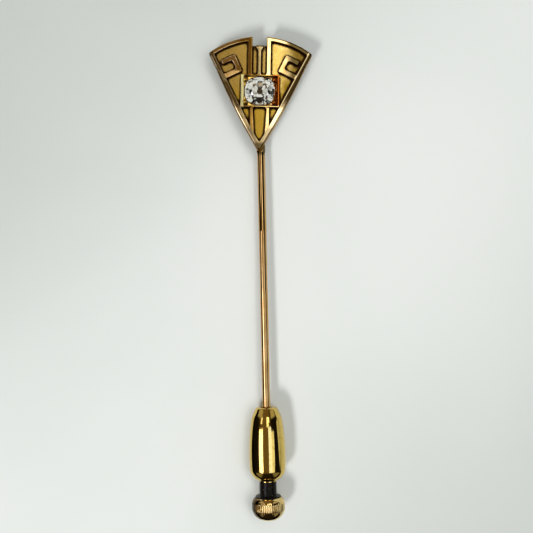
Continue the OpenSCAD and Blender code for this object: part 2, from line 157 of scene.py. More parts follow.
# %% Sums and nodes
class Wire:
    """One output of a node. Sums on it add Math nodes to the same tree."""

    def __init__(self, tree, output):
        self.tree = tree
        self.output = output

    def maths(self, operation, first, second):
        return add_node(self.tree, "Math", {"operation": operation}, {0: first, 1: second})

    def __add__(self, other):
        return self.maths("ADD", self, other)

    def __sub__(self, other):
        return self.maths("SUBTRACT", self, other)

    def __rsub__(self, other):
        return self.maths("SUBTRACT", other, self)

    def __mul__(self, other):
        return self.maths("MULTIPLY", self, other)

    __radd__ = __add__
    __rmul__ = __mul__

    def between(self, low, high):
        """A soft step from 0 at low to 1 at high. High may be the smaller of the two."""
        return add_node(self.tree, "MapRange", {"interpolation_type": "SMOOTHSTEP"},
                        {"Value": self, "From Min": low, "From Max": high})

    def axis(self, name):
        """One axis of a vector."""
        return add_node(self.tree, "SeparateXYZ", {}, {0: self}, out=name)


def add_node(tree, kind, settings, sockets, out=0):
    """Adds a node, sets its settings first, then fills its sockets, and wraps one output."""
    node = tree.nodes.new("ShaderNode" + kind)
    for name, value in settings.items():
        setattr(node, name, value)
    for name, value in sockets.items():
        if isinstance(value, Wire):
            tree.links.new(value.output, node.inputs[name])
        else:
            node.inputs[name].default_value = value
    return Wire(tree, node.outputs[out])


print("sums on wires add Math nodes")

# %% [markdown]
# A Math node would turn a colour grey, so colours are only ever mixed, by a share that may
# change over the surface. A new material starts empty and ends in one Principled shader.

# %% Colours and materials
def rgb(red, green, blue):
    """A colour with full alpha."""
    return (red, green, blue, 1)


# The Mix node has sockets of many kinds. These are the numbers of those for colours.
FACTOR, FIRST_COLOUR, SECOND_COLOUR, MIXED_COLOUR = 0, 6, 7, 2


def mix(share, first, second):
    """Mixes two colours, or wires that carry them."""
    return add_node(share.tree, "Mix", {"data_type": "RGBA"},
                    {FACTOR: share, FIRST_COLOUR: first, SECOND_COLOUR: second}, out=MIXED_COLOUR)


def new_material(name):
    """An empty material. Returns it with its tree of nodes."""
    made = bpy.data.materials.new(name)
    made.use_nodes = True
    made.node_tree.nodes.clear()
    return made, made.node_tree


def finish_with(tree, sockets):
    """Ends a material in a Principled shader."""
    shader = add_node(tree, "BsdfPrincipled", {}, sockets)
    out = tree.nodes.new("ShaderNodeOutputMaterial")
    tree.links.new(shader.output, out.inputs["Surface"])


print("colours can be mixed")

# %% [markdown]
# Patterns are painted in Object coordinates, which stay with a piece when it moves. Turned
# into millimetres, they make the size of a blotch or a scratch easy to choose.

# %% Places, noise and bumps
def millimetres(tree, stretch=(1, 1, 1)):
    """Object coordinates in millimetres, which may be stretched along each axis."""
    place = add_node(tree, "TexCoord", {}, {}, out="Object")
    scale = tuple(s / MM for s in stretch)
    return add_node(tree, "Mapping", {"vector_type": "POINT"}, {"Vector": place, "Scale": scale})


def in_fan(tree):
    """Object coordinates in millimetres, seen from the fan's own frame."""
    back = FAN_FRAME.inverted()
    place = add_node(tree, "TexCoord", {}, {}, out="Object")
    return add_node(tree, "Mapping", {"vector_type": "POINT"},
                    {"Vector": place, "Location": back.translation / MM,
                     "Rotation": back.to_euler(), "Scale": (1 / MM,) * 3})


def noise(place, scale, detail=2.0, distortion=0.0):
    """Noise from 0 to 1, mostly near 0.5. The scale is in spots to one unit of the place."""
    return add_node(place.tree, "TexNoise", {"noise_dimensions": "3D"},
                    {"Vector": place, "Scale": scale, "Detail": detail, "Distortion": distortion})


def bump(height, distance, strength=1.0, normal=None):
    """Turns a height from 0 to 1 into a bent normal. The distance is in millimetres."""
    sockets = {"Height": height, "Distance": distance * MM, "Strength": strength}
    if normal is not None:
        sockets["Normal"] = normal
    return add_node(height.tree, "Bump", {}, sockets)


print("helpers for nodes are ready")

# %% [markdown]
# The room is painted on the world: a dim brown overhead that ends sooner on the right than on
# the left and hardly reaches behind the pin, and black low down. Some paler light stands low
# in its four corners, where gold that is seen from the side finds it, and right at the
# horizon on the right. What the camera sees directly is kept pale, so that the table runs
# into a plain backdrop from every side. Light that leaves the stone downwards or sideways
# finds a mottled room, which is what gives a diamond its many small dark patches.

# %% The room
world = bpy.data.worlds.new("room")
bpy.context.scene.world = world
world.use_nodes = True
room = world.node_tree
room.nodes.clear()
looking = add_node(room, "TexCoord", {}, {}, out="Generated")
rightwards, forwards, skywards = (looking.axis(name) for name in "XYZ")
overhead = (1 - rightwards.between(0.1, 0.6)) * (0 - rightwards).between(0.95, 0.45)
behind = (0 - forwards).between(0.3, 0.65)
brown_room = mix(overhead * (1 - 0.95 * behind), rgb(0.010, 0.008, 0.006), rgb(0.19, 0.13, 0.06))
corners = ((rightwards * rightwards).between(0.16, 0.30)
           * (forwards * forwards).between(0.16, 0.30))
low_light = corners * (1 - 0.5 * behind) * skywards.between(0.0, 0.12)
brown_room = mix(low_light, brown_room, rgb(0.50, 0.46, 0.38))
gold_room = mix(rightwards.between(0.955, 0.965), brown_room, rgb(0.70, 0.72, 0.68))
mottle = noise(looking, 9.0, detail=3, distortion=0.5).between(0.40, 0.49)
stone_room = mix(mottle, rgb(0.07, 0.07, 0.055), rgb(0.96, 0.96, 0.85))
matt_room, backdrop = rgb(0.17, 0.18, 0.175), rgb(0.72, 0.745, 0.71)

from_stone = add_node(room, "LightPath", {}, {}, out="Transmission Depth").between(0.4, 0.6)
from_camera = add_node(room, "LightPath", {}, {}, out="Is Camera Ray")
from_matt = add_node(room, "LightPath", {}, {}, out="Is Diffuse Ray")
shown = mix(from_stone, mix(from_matt, gold_room, matt_room), stone_room)
shown = mix(from_camera, shown, backdrop)
sky = add_node(room, "Background", {}, {"Color": shown, "Strength": 1.0})
room_out = room.nodes.new("ShaderNodeOutputWorld")
room.links.new(sky.output, room_out.inputs["Surface"])
print("room has", len(room.nodes), "nodes")

# %% [markdown]
# The table is one large pale disc. A trace of cloudy marbling and a very fine grain keep it
# from looking like plastic. Its colour is painted palest along one slanting line through the
# pin, where a window's light would fall, and painted shade darkens it to both sides.

# %% The table
def only(piece):
    """Deselects everything, then selects one piece and makes it active."""
    bpy.ops.object.select_all(action="DESELECT")
    piece.select_set(True)
    bpy.context.view_layer.objects.active = piece


def new_piece(name, primitive, **size):
    """Adds a primitive with nothing else selected, and names it."""
    bpy.ops.object.select_all(action="DESELECT")
    primitive(**size)
    piece = bpy.context.active_object
    piece.name = name
    return piece


table = new_piece("table", bpy.ops.mesh.primitive_circle_add, vertices=96, radius=1.5,
                  fill_type="NGON")
table_paint, tree = new_material("pale_table")
place = millimetres(tree)
clouds = noise(place, 0.018, detail=3, distortion=0.6).between(0.3, 0.7)
grain = noise(place, 4.0, detail=2)
from_line = add_node(tree, "Math", {"operation": "ABSOLUTE"},
                     {0: place.axis("X") - place.axis("Y") - 5})
# Painted shade: the table's colour darkens away from the line of the window's light.
window_shade = from_line.between(2, 80)
pale = mix(window_shade, rgb(0.90, 0.915, 0.89), rgb(0.68, 0.71, 0.68))
cloudy = mix(window_shade, rgb(0.84, 0.865, 0.84), rgb(0.63, 0.66, 0.63))
finish_with(tree, {"Base Color": mix(clouds, pale, cloudy), "Roughness": 0.75,
                   "Normal": bump(grain, 0.02, 0.5)})
table.data.materials.append(table_paint)
print("table has", len(table.data.polygons), "face")

# %% [markdown]
# A photographer sets black cards beside polished gold, because its walls look like metal only
# where they have something dark to mirror. One card lies on the table to the left of the pin
# and one in front of its clutch. Only reflections find them: they throw no shadow, and the
# camera doesn't see them.

# %% Two black cards
CARD_SIZE, CARD_HEIGHT = 0.8, 0.05 * MM
LEFT_CARD_FROM, FRONT_CARD_FROM = -9.5 * MM, -38 * MM
card_places = {"left_card": (LEFT_CARD_FROM - CARD_SIZE / 2, 0, CARD_HEIGHT),
               "front_card": (0, FRONT_CARD_FROM - CARD_SIZE / 2, CARD_HEIGHT)}
card_paint, tree = new_material("black_card")
finish_with(tree, {"Base Color": rgb(0.004, 0.003, 0.002), "Roughness": 1.0,
                   "Specular IOR Level": 0.0})
for name, card_place in card_places.items():
    card = new_piece(name, bpy.ops.mesh.primitive_plane_add, size=CARD_SIZE)
    card.location = card_place
    for kind in ("camera", "diffuse", "transmission", "shadow"):
        setattr(card, "visible_" + kind, False)
    card.data.materials.append(card_paint)
print("two cards lie on the table and only the gold sees them")

# %% [markdown]
# Old gold is bright only where fingers and cloth rub it. In the corners, where the raised
# work meets the ground, dirt and oxide stay dark, and the shade that falls there is painted
# into the same dark colour. The Ambient Occlusion node finds those corners from the shape
# itself. Single places of the fan also get painted light and shade, so a point's distances
# from the fan's middle, tip and long sides are worked out, in millimetres.

# %% Where a point of the head lies
def corner_dirt_and_shade(tree, reach):
    """1 in tight corners and 0 in the open. The reach is in millimetres."""
    # Dirt and painted shade together: the less open space a point sees, the darker it is.
    open_share = add_node(tree, "AmbientOcclusion", {"only_local": True, "samples": 12},
                          {"Distance": reach * MM}, out="AO")
    return 1 - open_share


def head_places(tree):
    """Distances on the fan, and masks of the head and of its top faces."""
    fan = in_fan(tree)
    across, along = fan.axis("X"), fan.axis("Y")
    inwards = (along + APEX_DROP) * sin(SIDE_LEAN)
    on_head = along.between(-0.7, -0.2)
    return SimpleNamespace(across=across, along=along, on_head=on_head,
                           from_right=across * cos(SIDE_LEAN) - inwards,
                           from_left=0 - across * cos(SIDE_LEAN) - inwards,
                           on_top=on_head * fan.axis("Z").between(1.15, 1.35))


print("the head can be measured")

# %% [markdown]
# The polished keys and borders mirror single bright and dark things of the room in which the
# photograph was taken. A lamp for each of them would spoil the other pieces, so these places
# get painted highlights, reflections and shade, mixed over the gold one after the other. The
# satin ground is only painted darker towards the fan's tip, and the setting lighter.

# %% Painted light and shade of the keys and of the low part
def painted_key_light(metal, at):
    """Adds painted highlights, reflections and shade to the polished places. Returns the colour and
    its extra roughness.
    """
    left, along = 0 - at.across, at.along
    inner_shade_line = at.on_top * (at.from_right.between(-0.62, -0.55)
                              + at.from_left.between(-0.62, -0.55))
    outer_shade_band = at.on_top * along.between(5.2, 7.2) * (
        at.from_right.between(-0.42, -0.34) + at.from_left.between(-0.15, -0.06))
    column_shade = (at.on_top * at.across.between(-0.6, -0.5) * (1 - at.across.between(0.4, 0.5))
              * along.between(9.6, 9.9))
    left_key_highlight = at.on_top * left.between(2.5, 3.4)
    left_foot_highlight = (at.on_top * left.between(2.4, 3.0)
                 * along.between(8.9, 9.2) * along.between(10.7, 10.4))
    low_border_highlight = at.on_top * along.between(5.9, 5.2) * along.between(2.6, 3.6) * (
        at.from_right.between(-0.55, -0.45) + at.from_left.between(-0.55, -0.45))
    tip_shadow = at.on_head * along.between(1.3, 0.7)
    # Each share paints one place: the dark tones are painted shade, the pale ones painted
    # highlights.
    for share, tone in ((0.8 * column_shade, rgb(0.20, 0.155, 0.07)),
                        (left_key_highlight, rgb(0.80, 0.58, 0.31)),
                        (0.8 * left_foot_highlight, rgb(0.95, 0.62, 0.24)),
                        (inner_shade_line, rgb(0.36, 0.28, 0.15)),
                        (outer_shade_band, rgb(0.07, 0.045, 0.013)),
                        (0.8 * low_border_highlight, rgb(1.0, 0.80, 0.44)),
                        (0.9 * tip_shadow, rgb(0.07, 0.045, 0.015))):
        metal = mix(share, metal, tone)
    haze = 0.45 * outer_shade_band + 0.1 * left_foot_highlight + 0.05 * at.on_head * along.between(7.2, 4.6)
    return metal, haze


def low_tones(metal, at, sideways, tones, fades_in, right_fades_in):
    """Paints two tones of light and shade on the head's low part, the second only on the right.

    Each fades in between two distances from the fan's tip, as one goes down."""
    low = at.on_head * at.along.between(*fades_in)
    low_right = (at.on_head * at.along.between(*right_fades_in) * at.along.between(5.2, 6.2)
                 * sideways.between(2.2, 3.4))
    return mix(low_right, mix(0.85 * low, metal, tones[0]), tones[1])


print("tones of single places are ready")

# %% [markdown]
# Three golds come from one recipe. Each has blotches of two tones, a third tone on the left of
# the head and a fourth on its right that are painted light and shade, upright faces painted in
# shade, and corners dark with dirt and painted shade. A surface that was polished by hand is
# never quite flat, so a slow wave bends its normals under the fine marks.

# %% A recipe for aged gold
def aged_gold(name, tones, left_side, right_side, rough, dirt_and_shade_reach, dirt_and_shade_range, wave_depth,
              grain_size, grain_depth, low=None, left_haze=0.0, spread=1.2):
    """Gold with four tones, corners dark with dirt and painted shade, slight waves and fine marks.

    The first two tones are blotches. The third is painted on the left side of the head and the
    fourth on its right side, as the light and shade that fall there, each between two distances
    from its middle in millimetres, and the spread says how far blotches move them. Low holds
    what low_tones asks for. Gold without it has the painted light and shade of the keys. A left
    haze makes the left side less of a mirror."""
    made, tree = new_material(name)
    place, at = millimetres(tree), head_places(tree)
    blotches = noise(place, 0.55, detail=3, distortion=0.4)
    patches = blotches.between(0.35, 0.65)
    sideways = at.across + spread * (blotches - 0.5)
    left_share = at.on_head * (0 - sideways).between(*left_side)
    right_share = at.on_head * sideways.between(*right_side)
    stem_metal = mix(patches, rgb(0.62, 0.41, 0.18), rgb(0.52, 0.32, 0.12))
    metal = mix(at.on_head, stem_metal, mix(patches, tones[0], tones[1]))
    # Painted light and shade: each side of the head gets the tone that the light there gives it.
    metal = mix(right_share, mix(left_share, metal, tones[2]), tones[3])
    if low:
        metal, haze = low_tones(metal, at, sideways, **low), left_haze * left_share
    else:
        metal, haze = painted_key_light(metal, at)

    upright = add_node(tree, "TexCoord", {}, {}, out="Normal").axis("Z")
    # Painted shade on the head's upright faces.
    shaded_walls = 0.8 * at.on_head * upright.between(0.75, 0.35)
    # Painted shadow along the inside of the right border.
    shadow_by_right_border = at.along.between(5.6, 7.6) * at.from_right.between(-1.7, -0.9)
    # Dirt in the corners, with the shade that falls there painted into the same colour.
    dirt_and_shade = (corner_dirt_and_shade(tree, dirt_and_shade_reach) + 0.14 * (noise(place, 2.5, detail=3) - 0.5)
            + 0.12 * shadow_by_right_border).between(*dirt_and_shade_range)
    colour = mix(dirt_and_shade, mix(shaded_walls, metal, rgb(0.22, 0.13, 0.05)), rgb(0.026, 0.009, 0.003))
    roughness = rough[0] + (rough[1] - rough[0]) * blotches + 0.3 * dirt_and_shade + haze
    waves = bump(noise(place, 0.7, detail=1), wave_depth)
    marks = bump(noise(place, grain_size, detail=2), grain_depth, normal=waves)
    finish_with(tree, {"Base Color": colour, "Metallic": 1 - haze if left_haze else 1.0,
                       "Roughness": roughness, "Specular Tint": rgb(0.85, 0.55, 0.22),
                       "Normal": marks})
    return made


print("the recipe for aged gold is ready")

# %% [markdown]
# The polished gold of the keys, the borders and the stem is nearly a mirror. The satin ground
# is rougher, painted darker towards the right and much darker in its corners, with dirt and
# painted shade. The setting's small walls each mirror another side of the room, so their
# painted reflections change sharply from the left wall to the right one.

# %% Three golds
polished_gold = aged_gold(
    "polished_gold",
    tones=(rgb(0.86, 0.64, 0.30), rgb(0.74, 0.49, 0.19), rgb(0.52, 0.31, 0.07),
           rgb(0.062, 0.042, 0.013)),
    left_side=(0.4, 1.0), right_side=(2.6, 4.2), rough=(0.03, 0.06),
    dirt_and_shade_reach=0.30, dirt_and_shade_range=(0.30, 0.50), wave_depth=0.002, grain_size=9,
    grain_depth=0.0003)
satin_gold = aged_gold(
    "satin_ground",
    tones=(rgb(0.82, 0.60, 0.20), rgb(0.66, 0.45, 0.11), rgb(0.34, 0.22, 0.05),
           rgb(0.13, 0.08, 0.012)),
    left_side=(-1.4, 0.0), right_side=(2.4, 4.8), rough=(0.20, 0.30),
    dirt_and_shade_reach=0.45, dirt_and_shade_range=(0.14, 0.28), wave_depth=0.009, grain_size=14,
    grain_depth=0.002,
    low={"tones": (rgb(0.35, 0.215, 0.022), rgb(0.19, 0.115, 0.01)),
         "fades_in": (9.2, 7.2), "right_fades_in": (10.4, 8.6)})
setting_gold = aged_gold(
    "setting_gold",
    tones=(rgb(0.55, 0.34, 0.07), rgb(0.45, 0.26, 0.05), rgb(1.0, 0.86, 0.39),
           rgb(0.36, 0.10, 0.012)),
    left_side=(2.1, 2.17), right_side=(1.5, 1.7), rough=(0.05, 0.12),
    dirt_and_shade_reach=0.20, dirt_and_shade_range=(0.45, 0.75), wave_depth=0.008, grain_size=9,
    grain_depth=0.0003,
    low={"tones": (rgb(0.80, 0.60, 0.25), rgb(0.60, 0.40, 0.12)),
         "fades_in": (6.0, 5.7), "right_fades_in": (6.0, 5.7)},
    left_haze=0.95, spread=0.1)
print("gold finishes are ready")

# %% [markdown]
# In edit mode an operator acts on all that is selected, so the pieces are shaped as by hand:
# select, then act. These helpers select what passes a test, apply a modifier, shade a piece
# smooth but for its sharp edges, and lay it in its place.

# %% Helpers for editing
def edit(piece, mode="FACE"):
    only(piece)
    bpy.ops.object.mode_set(mode="EDIT")
    bpy.ops.mesh.select_mode(type=mode)
    bpy.ops.mesh.select_all(action="SELECT")


def object_mode():
    bpy.ops.object.mode_set(mode="OBJECT")


def choose(piece, kind, test):
    """In edit mode, selects the vertices, edges or faces that pass a test."""
    bpy.ops.mesh.select_mode(type={"verts": "VERT", "edges": "EDGE", "faces": "FACE"}[kind])
    bpy.ops.mesh.select_all(action="DESELECT")
    mesh = bmesh.from_edit_mesh(piece.data)
    chosen = [item for item in getattr(mesh, kind) if test(item)]
    for item in chosen:
        item.select_set(True)
    mesh.select_flush_mode()
    bmesh.update_edit_mesh(piece.data)
    return len(chosen)


def copy_of(node, name):
    """A separate copy of a measured node, with its triangles' corners merged."""
    piece = frame["nodes"][node].copy()
    piece.data = piece.data.copy()
    piece.parent = None
    piece.matrix_world = Matrix()
    piece.name = name
    bpy.context.collection.objects.link(piece)
    piece.data.materials.clear()
    edit(piece)
    bpy.ops.mesh.customdata_custom_splitnormals_clear()
    bpy.ops.mesh.remove_doubles(threshold=0.0001 * MM)
    bpy.ops.mesh.dissolve_limited(angle_limit=radians(0.2))
    object_mode()
    return piece


def apply_modifier(piece, kind, **settings):
    only(piece)
    modifier = piece.modifiers.new(kind.lower(), kind)
    for name, value in settings.items():
        setattr(modifier, name, value)
    bpy.ops.object.modifier_apply(modifier=modifier.name)


def smooth(piece, angle):
    """Smooth shading on all but the sharp edges, with flat faces kept flat."""
    only(piece)
    bpy.ops.object.shade_smooth_by_angle(angle=radians(angle))
    apply_modifier(piece, "WEIGHTED_NORMAL", keep_sharp=True, weight=60)


def lay(piece, matrix):
    """Moves a piece from the origin to its place, and keeps its object at the origin."""
    only(piece)
    piece.matrix_world = matrix
    bpy.ops.object.transform_apply(location=True, rotation=True, scale=True)


print("editing helpers are ready")

# %% [markdown]
# The head is cast with crisp walls, and years of wear have rounded its edges. Rebuilding the
# ornament by hand would only risk moving it, so a merged copy of the measured node is used,
# in which flat faces are joined. A cutting plane just below the fan's tip takes the stem off,
# because the stem is made finer later on.

# %% Cut the head free
head = copy_of("pin", "head")
head.data.transform(STEM_FRAME.inverted())
edit(head)
bpy.ops.mesh.bisect(plane_co=(0, -0.9 * FOOT_END, 0), plane_no=(0, 1, 0), use_fill=True,
                    clear_inner=True, clear_outer=False, threshold=0.001 * MM)
object_mode()
head.data.transform(FAN_FRAME.inverted() @ STEM_FRAME)
print("head has", len(head.data.polygons), "faces")

# %% [markdown]
# The maker filed the fan's two long sides a little full, so they bow outwards by a fifth of a
# millimetre. The long edges there are halved until they are short. Then their corners are pushed
# outwards in many small steps, the middle ones every time and those near the ends only once.

# %% Bow its sides
BOW, BOW_STEPS, BOW_FROM, BOW_TO = 0.2 * MM, 40, 1.2 * MM, 13.2 * MM
BESIDE, LONG_EDGE, CLOSE = 0.2 * MM, 1.2 * MM, 0.004 * MM


def from_side(place, side):
    """How far a place lies outside one of the fan's sides, and how far up that side it is."""
    from_apex = place.xy + Vector((0, APEX_DROP * MM))
    return (from_apex @ Vector((side * cos(SIDE_LEAN), -sin(SIDE_LEAN))),
            from_apex @ Vector((side * sin(SIDE_LEAN), cos(SIDE_LEAN))))


def bow_share(place, side):
    """The share of the bow that a place gets: 1 in the middle of a side and 0 at its ends."""
    outside, upwards = from_side(place, side)
    share = min(max((upwards - BOW_FROM) / (BOW_TO - BOW_FROM), 0), 1)
    return sin(pi * share) * (outside > -BESIDE)


def long_beside(edge, side):
    """True for a long level edge that runs along one of the fan's sides."""
    one, other = (from_side(corner.co, side) for corner in edge.verts)
    rise = edge.verts[0].co.z - edge.verts[1].co.z
    return (abs(rise) < CLOSE and min(one[0], other[0]) > -BESIDE
            and edge.calc_length() > LONG_EDGE and max(one[1], other[1]) > BOW_FROM)


edit(head, "EDGE")
for side in (-1, 1):
    halvings = 0
    while choose(head, "edges", lambda edge: long_beside(edge, side)):
        bpy.ops.mesh.subdivide(number_cuts=1)
        halvings += 1
    outwards = Vector((side * cos(SIDE_LEAN), -sin(SIDE_LEAN), 0))
    for step in range(BOW_STEPS):
        choose(head, "verts", lambda corner: bow_share(corner.co, side) > (step + 0.5) / BOW_STEPS)
        bpy.ops.transform.translate(value=outwards * BOW / BOW_STEPS)
    print("long edges halved", halvings, "times and bowed")
object_mode()

# %% [markdown]
# Wear takes most from the edges that stand out. The Bevel modifier can round each edge by a
# weight of its own, so every edge of the head is asked where it lies: the outside of the fan
# is rounded widely, the keys and the pockets narrowly, and the setting's rim hardly at all
# outside but more inside, where it was pressed over the stone.

# %% Round its edges
SETTING_AT = Vector((0, 7.8)) * MM
OUTER_ROUND, INNER_ROUND, RIM_ROUND, RIM_INSIDE = 0.24 * MM, 0.09 * MM, 0.05 * MM, 0.14 * MM
LEVEL, SLOPED, NOTCH_REACH = 0.9, 0.2, 2 * MM


def level(edge, height):
    return all(abs(corner.co.z - height) < CLOSE for corner in edge.verts)


def edge_round(edge):
    """How far an edge is rounded: 0 unless it is a rim between a top face and a wall."""
    if len(edge.link_faces) != 2 or not edge.is_convex:
        return 0
    wall, top = sorted(edge.link_faces, key=lambda face: abs(face.normal.z))
    if top.normal.z < LEVEL:
        return 0
    if level(edge, RIM_TOP):
        return RIM_INSIDE if wall.normal.z > SLOPED else RIM_ROUND
    if abs(wall.normal.z) > SLOPED or not level(edge, FAN_FRONT):
        return 0
    reaches_back = min(corner.co.z for corner in wall.verts) < PLATE_T / 2
    faces_notch = abs(wall.normal.x) > 0.99 and abs(wall.calc_center_median().x) < NOTCH_REACH
    return OUTER_ROUND if reaches_back and not faces_notch else INNER_ROUND


edit(head, "EDGE")
mesh = bmesh.from_edit_mesh(head.data)
weights = mesh.edges.layers.float.new("bevel_weight_edge")
rounded = 0
for edge in mesh.edges:
    edge[weights] = edge_round(edge) / OUTER_ROUND
    rounded += edge[weights] > 0
bmesh.update_edit_mesh(head.data)
object_mode()
apply_modifier(head, "BEVEL", limit_method="WEIGHT", width=OUTER_ROUND, segments=4,
               use_clamp_overlap=False, loop_slide=True)
print(rounded, "edges rounded, now", len(head.data.polygons), "faces")

# %% [markdown]
# The bevel leaves a few corners on top of each other in the setting's well, so those are
# merged once more. Then each face gets its gold by its height and place: satin on the ground
# and on the solder at the foot, the setting's own gold around the stone, and the polished
# gold everywhere else.

# %% Finish the head
SETTING_REACH, SOLDER_REACH = 2.3 * MM, 0.6 * MM


def near_setting(place):
    return (place.xy - SETTING_AT).length < SETTING_REACH


def gold_of(face):
    """The number of a face's gold: 0 polished, 1 satin, 2 the setting's."""
    on_ground = abs(face.center.z - PLATE_T) < CLOSE and face.normal.z > 0.99
    in_solder = face.center.z < -CLOSE and face.center.y < SOLDER_REACH
    in_setting = face.center.z > FAN_FRONT + CLOSE or (
        near_setting(face.center) and face.center.z > PLATE_T + CLOSE)
    return 1 if on_ground or in_solder else 2 if in_setting else 0


edit(head)
choose(head, "verts", lambda corner: near_setting(corner.co))
bpy.ops.mesh.remove_doubles(threshold=0.0001 * MM)
object_mode()
for gold in (polished_gold, satin_gold, setting_gold):
    head.data.materials.append(gold)
for face in head.data.polygons:
    face.material_index = gold_of(face)
smooth(head, 35)
lay(head, FAN_FRAME)
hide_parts("pin")
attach(head, "pin_body")
print("faces of each gold:",
      [sum(face.material_index == gold for face in head.data.polygons) for gold in range(3)])

# %% [markdown]
# A lathe turns the clutch's parts, and the Spin operator does the same: one corner of a plane
# is kept, it is drawn along the outline by extruding it from point to point, and the outline
# is spun about the axis. The outline closes on itself, so every part has its real bore.

# %% A lathe
def arc(centre, radius, start, end, steps):
    """Points of an arc in millimetres, from one angle to another in degrees."""
    turns = [radians(start + (end - start) * step / steps) for step in range(steps + 1)]
    return [(centre[0] + radius * cos(turn), centre[1] + radius * sin(turn)) for turn in turns]


def turned(name, outline, sides):
    """Spins a closed outline of (radius, height) points about the vertical axis."""
    piece = new_piece(name, bpy.ops.mesh.primitive_plane_add, size=MM)
    edit(piece, "VERT")
    bpy.ops.mesh.merge(type="CENTER")
    start = Vector((outline[0][0], 0, outline[0][1])) * MM
    bpy.ops.transform.translate(value=start)
    for one, other in zip(outline, outline[1:] + outline[:1]):
        step = Vector((other[0] - one[0], 0, other[1] - one[1])) * MM
        bpy.ops.mesh.extrude_vertices_move(TRANSFORM_OT_translate={"value": step})
    bpy.ops.mesh.select_all(action="SELECT")
    bpy.ops.mesh.spin(steps=sides, angle=2 * pi, center=(0, 0, 0), axis=(0, 0, 1))
    bpy.ops.mesh.select_all(action="SELECT")
    bpy.ops.mesh.remove_doubles(threshold=0.002 * MM)
    bpy.ops.mesh.normals_make_consistent(inside=False)
    if bmesh.from_edit_mesh(piece.data).calc_volume(signed=True) < 0:
        bpy.ops.mesh.flip_normals()
    object_mode()
    print(name, "has", len(piece.data.polygons), "faces")
    return piece


def dress(piece, material, node, body):
    """Gives a piece its material, and says what it replaces and what it rides on."""
    piece.data.materials.clear()
    piece.data.materials.append(material)
    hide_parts(node)
    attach(piece, body)


print("the lathe is ready")

# %% [markdown]
# The barrel is gold plate over brass, buffed to a mirror. Its outline is four arcs: a small
# round at the mouth, the nose, a very long bulge, and the rear. The same sizes as in the
# measured model are used, with far more sides, because a mirror shows every facet.

# %% The clutch barrel
BARREL_R, BARREL_L, BELLY_Z, BULGE_R = 2.465, 9.85, 6.4, 30
NOSE_R, NOSE_L, MOUTH_EDGE, REAR_EDGE = 4, 2, 0.45, 1.75
MOUTH_R, MOUTH_L, CHAMBER_R, REAR_WALL = 0.78, 0.9, 1.85, 1
JAW_ROOM_R, CHAMBER_Z, NECK_HOLE_R = 1.25, 2.6, 1.19

bulge_x = BARREL_R - BULGE_R
nose_x = bulge_x + sqrt(BULGE_R ** 2 - (BELLY_Z - NOSE_L) ** 2)
nose_centre = (nose_x + NOSE_R * (bulge_x - nose_x) / BULGE_R,
               NOSE_L + NOSE_R * (BELLY_Z - NOSE_L) / BULGE_R)
face_r = nose_centre[0] + sqrt(NOSE_R ** 2 - (nose_centre[1] - MOUTH_EDGE) ** 2)
rear_r = bulge_x + sqrt(BULGE_R ** 2 - (BARREL_L - REAR_EDGE - BELLY_Z) ** 2)
mouth_turn = degrees(atan2(MOUTH_EDGE - nose_centre[1], face_r - nose_centre[0]))
nose_turn = degrees(atan2(NOSE_L - nose_centre[1], nose_x - nose_centre[0]))
bulge_start = degrees(atan2(NOSE_L - BELLY_Z, nose_x - bulge_x))
bulge_end = degrees(asin((BARREL_L - REAR_EDGE - BELLY_Z) / BULGE_R))
EDGE = 0.06

barrel_outline = (
    arc((MOUTH_R + EDGE, EDGE), EDGE, 180, 270, 4)
    + arc((face_r - MOUTH_EDGE, MOUTH_EDGE), MOUTH_EDGE, -90, mouth_turn, 8)
    + arc(nose_centre, NOSE_R, mouth_turn, nose_turn, 14)[1:]
    + arc((bulge_x, BELLY_Z), BULGE_R, bulge_start, bulge_end, 26)[1:]
    + arc((rear_r - REAR_EDGE, BARREL_L - REAR_EDGE), REAR_EDGE, 0, 90, 18)[1:]
    + [(NECK_HOLE_R, BARREL_L), (NECK_HOLE_R, BARREL_L - REAR_WALL),
       (CHAMBER_R, BARREL_L - REAR_WALL), (CHAMBER_R, CHAMBER_Z), (JAW_ROOM_R, CHAMBER_Z),
       (JAW_ROOM_R, MOUTH_L), (MOUTH_R, MOUTH_L)])
clutch_at = DOWN_STEM @ Matrix.Translation((0, 0, stem_show))
barrel = turned("barrel", barrel_outline, 128)
smooth(barrel, 30)
lay(barrel, clutch_at)

# %% [markdown]
# Mirror plate is nearly free of colour patches, but it is never perfect: faint polishing
# lines run round the barrel, and the surface swells a little from the buffing wheel.

# %% Bright plate
def mirror_gold(name, tone, dull, rough, dirt_and_shade_reach=None, shade=None):
    """Bright plate with haze. It may have dirt and painted shade in corners, and a shaded side."""
    made, tree = new_material(name)
    place = millimetres(tree)
    soft = noise(place, 0.5, detail=1)
    lines = noise(millimetres(tree, stretch=(0.6, 14, 0.6)), 1.0, detail=3)
    haze = noise(place, 1.7, detail=4, distortion=0.5).between(0.45, 0.75)
    colour = mix(haze * 0.6, tone, dull)
    roughness = rough + 0.08 * haze
    if dirt_and_shade_reach:
        patches = noise(place, 2.2, detail=3, distortion=0.8)
        # Painted shade darkens the piece towards the left, and the corners get dirt and painted
        # shade.
        side = (patches - 0.5) * 2.5 - place.axis("X")
        dirt_and_shade = (corner_dirt_and_shade(tree, dirt_and_shade_reach) + 0.5 * (patches - 0.5)).between(0.16, 0.42)
        colour = mix(side.between(*shade), colour, rgb(0.10, 0.055, 0.012))
        colour = mix(dirt_and_shade, colour, rgb(0.05, 0.02, 0.006))
    normal = bump(lines, 0.0006, normal=bump(soft, 0.006))
    finish_with(tree, {"Base Color": colour, "Metallic": 1.0, "Roughness": roughness,
                       "Normal": normal})
    return made


